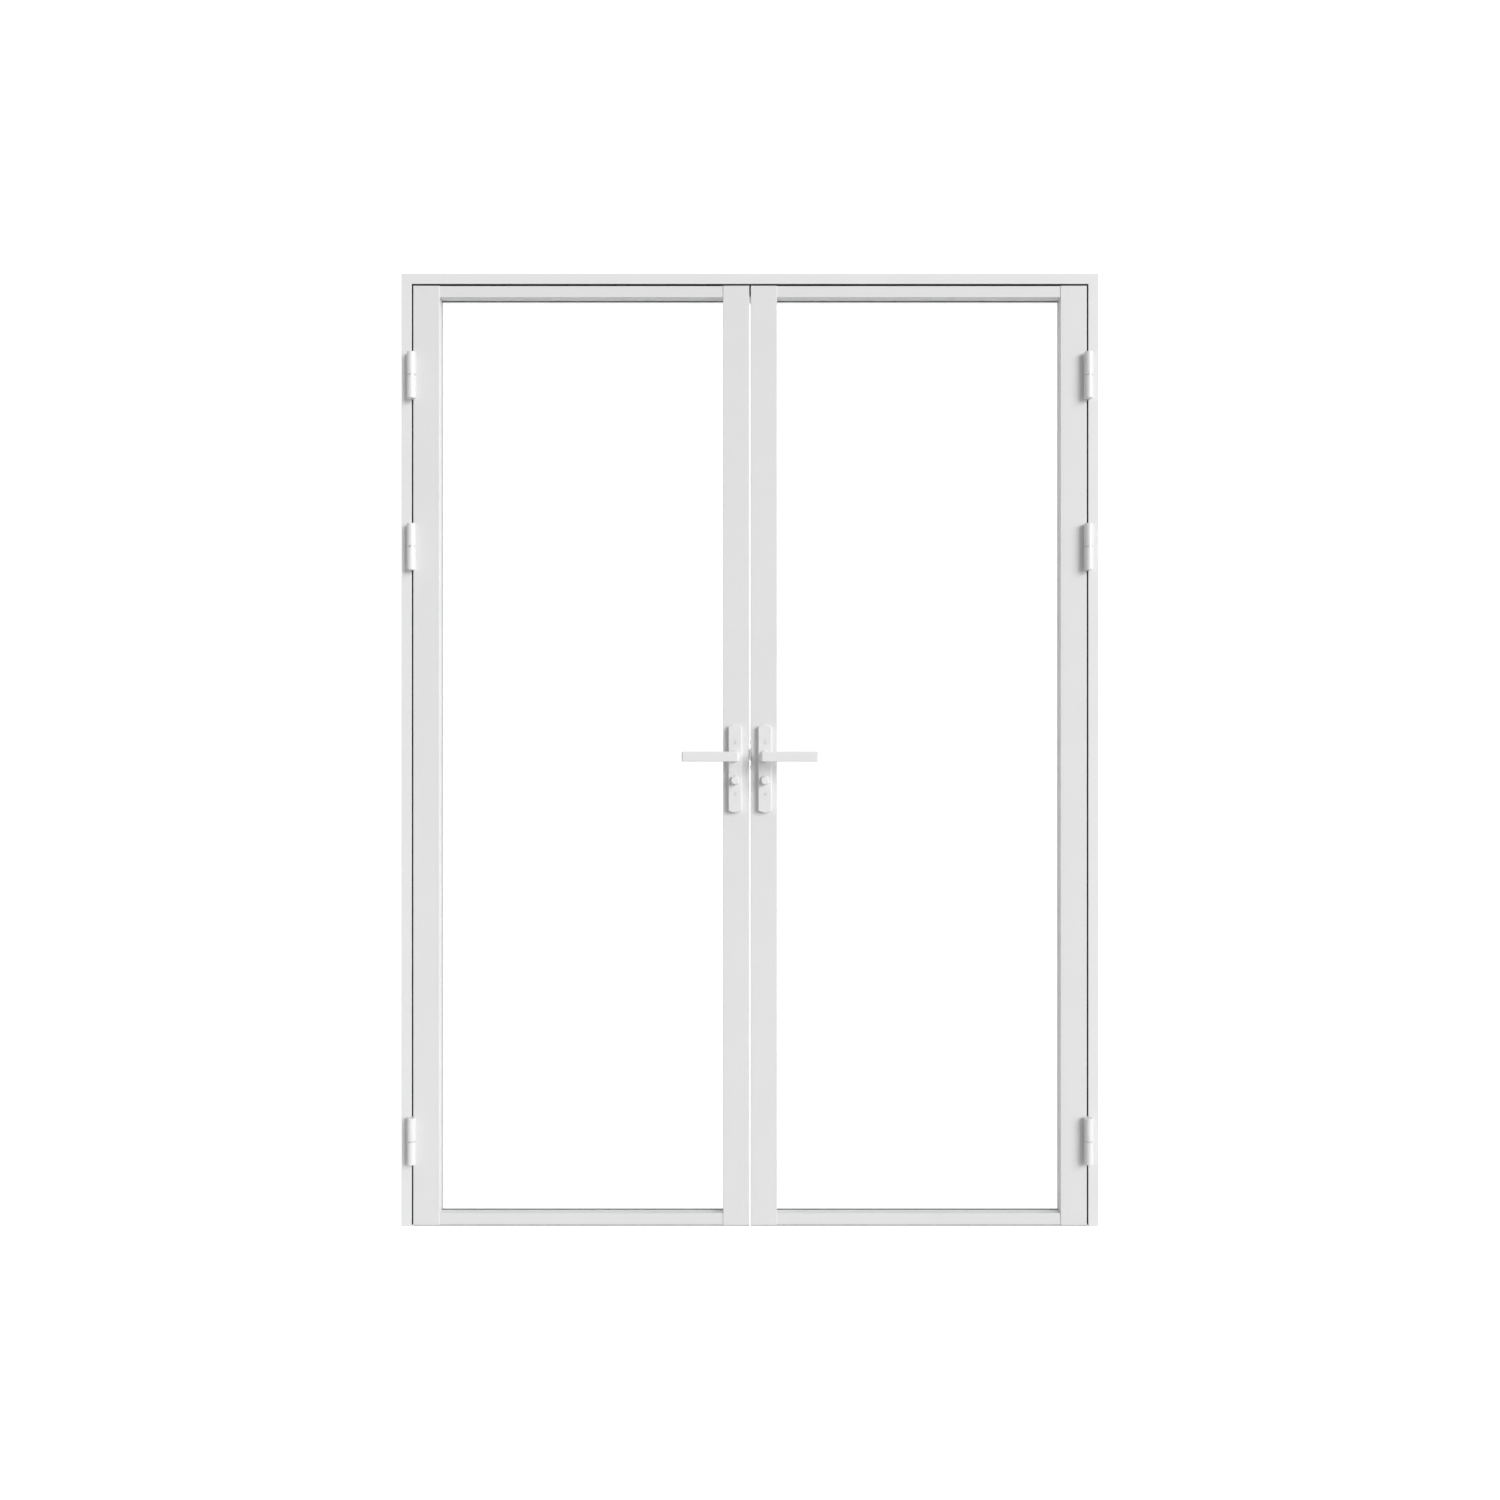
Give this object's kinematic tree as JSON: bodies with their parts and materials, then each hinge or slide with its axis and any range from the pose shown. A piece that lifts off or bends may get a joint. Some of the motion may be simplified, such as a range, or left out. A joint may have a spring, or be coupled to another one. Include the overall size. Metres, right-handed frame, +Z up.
{
  "type": "interior door",
  "caption": "White interior double door: clear-glazed leaves in slim metal stiles and rails, hung in a rebated frame, with lever handles on long plates, thumb turns and barrel hinges.",
  "frame": {"origin": "on the floor, midway between the jambs, in the mid-plane of the closed leaves", "axes": "+Z up, +X to the right seen from the side the leaves open towards, +Y away from that side"},
  "size_m": [1.5, 0.161, 2.05],
  "materials": {
    "frame_paint": "satin white paint",
    "leaf_paint": "satin white paint",
    "hardware_paint": "smooth white powder coat",
    "bright_steel": "plain bright steel",
    "black_rubber": "matt black extruded rubber",
    "clear_glass": "clear polished"
  },
  "bodies": {
    "frame": {"left_jamb": "frame_paint", "right_jamb": "frame_paint", "head": "frame_paint", "bolt_keeper": "bright_steel", "left_jamb_seal": "black_rubber", "right_jamb_seal": "black_rubber", "head_seal": "black_rubber", "left_frame_hinges": "hardware_paint", "right_frame_hinges": "hardware_paint", "hinge_rings": "bright_steel"},
    "left_handle": {"left_front_lever": "hardware_paint", "left_rear_lever": "hardware_paint", "left_spindle": "bright_steel", "left_follower": "bright_steel"},
    "left_turn": {"left_thumb_turn": "hardware_paint", "left_bolt_cam": "bright_steel"},
    "right_handle": {"right_front_lever": "hardware_paint", "right_rear_lever": "hardware_paint", "right_spindle": "bright_steel", "right_follower": "bright_steel"},
    "right_turn": {"right_thumb_turn": "hardware_paint", "right_bolt_cam": "bright_steel"},
    "latch": {"latch": "bright_steel"},
    "dead_bolt": {"dead_bolt": "bright_steel"},
    "top_bolt": {"top_bolt": "bright_steel"},
    "left_leaf": {"left_bottom_rail": "leaf_paint", "left_faceplate": "bright_steel", "left_floor_seal": "black_rubber", "left_front_gasket": "black_rubber", "left_front_plate": "hardware_paint", "left_glass": "clear_glass", "left_hinge_stile": "leaf_paint", "left_leaf_hinges": "hardware_paint", "left_level_beads": "leaf_paint", "left_lock_case": "bright_steel", "left_meeting_stile": "leaf_paint", "left_plate_screws": "hardware_paint", "left_rear_cylinder": "hardware_paint", "left_rear_gasket": "black_rubber", "left_rear_plate": "hardware_paint", "left_top_rail": "leaf_paint", "left_upright_beads": "leaf_paint"},
    "right_leaf": {"right_bottom_rail": "leaf_paint", "right_floor_seal": "black_rubber", "right_front_gasket": "black_rubber", "right_front_plate": "hardware_paint", "right_glass": "clear_glass", "right_hinge_stile": "leaf_paint", "right_leaf_hinges": "hardware_paint", "right_level_beads": "leaf_paint", "right_lock_case": "bright_steel", "right_meeting_stile": "leaf_paint", "right_plate_screws": "hardware_paint", "right_rear_cylinder": "hardware_paint", "right_rear_gasket": "black_rubber", "right_rear_plate": "hardware_paint", "right_strike": "bright_steel", "right_strike_magnet": "bright_steel", "right_top_rail": "leaf_paint", "right_upright_beads": "leaf_paint"}
  },
  "joints": [
    {"name": "left_leaf_swing", "type": "hinge", "parent": "frame", "child": "left_leaf", "pos_m": [-0.7264, -0.0325, 0], "axis": [0, 0, -1], "range_deg": [0, 110]},
    {"name": "right_leaf_swing", "type": "hinge", "parent": "frame", "child": "right_leaf", "pos_m": [0.7264, -0.0325, 0], "axis": [0, 0, 1], "range_deg": [0, 110]},
    {"name": "left_lever_press", "type": "hinge", "parent": "left_leaf", "child": "left_handle", "pos_m": [-0.032, 0, 1.011], "axis": [0, -1, 0], "range_deg": [0, 45], "stiffness_Nm_per_rad": 1.5, "springref_deg": -28.65},
    {"name": "right_lever_press", "type": "hinge", "parent": "right_leaf", "child": "right_handle", "pos_m": [0.032, 0, 1.011], "axis": [0, 1, 0], "range_deg": [0, 45], "stiffness_Nm_per_rad": 1.5, "springref_deg": -28.65},
    {"name": "left_turn_spin", "type": "hinge", "parent": "left_leaf", "child": "left_turn", "pos_m": [-0.032, 0, 0.96], "axis": [0, 1, 0], "range_deg": [0, 90]},
    {"name": "right_turn_spin", "type": "hinge", "parent": "right_leaf", "child": "right_turn", "pos_m": [0.032, 0, 0.96], "axis": [0, 1, 0], "range_deg": [0, 90]},
    {"name": "latch_slide", "type": "slide", "parent": "left_leaf", "child": "latch", "axis": [1, 0, 0], "range_m": [0, 0.0085], "stiffness_N_per_m": 50},
    {"name": "dead_bolt_slide", "type": "slide", "parent": "left_leaf", "child": "dead_bolt", "axis": [1, 0, 0], "range_m": [0, 0.01]},
    {"name": "top_bolt_slide", "type": "slide", "parent": "right_leaf", "child": "top_bolt", "axis": [0, 0, 1], "range_m": [0, 0.01]}
  ],
  "couplings": [
    {"joint": "left_turn_spin", "follows": "dead_bolt_slide", "rad_per_m": 157.07},
    {"joint": "right_turn_spin", "follows": "top_bolt_slide", "rad_per_m": 157.07}
  ]
}
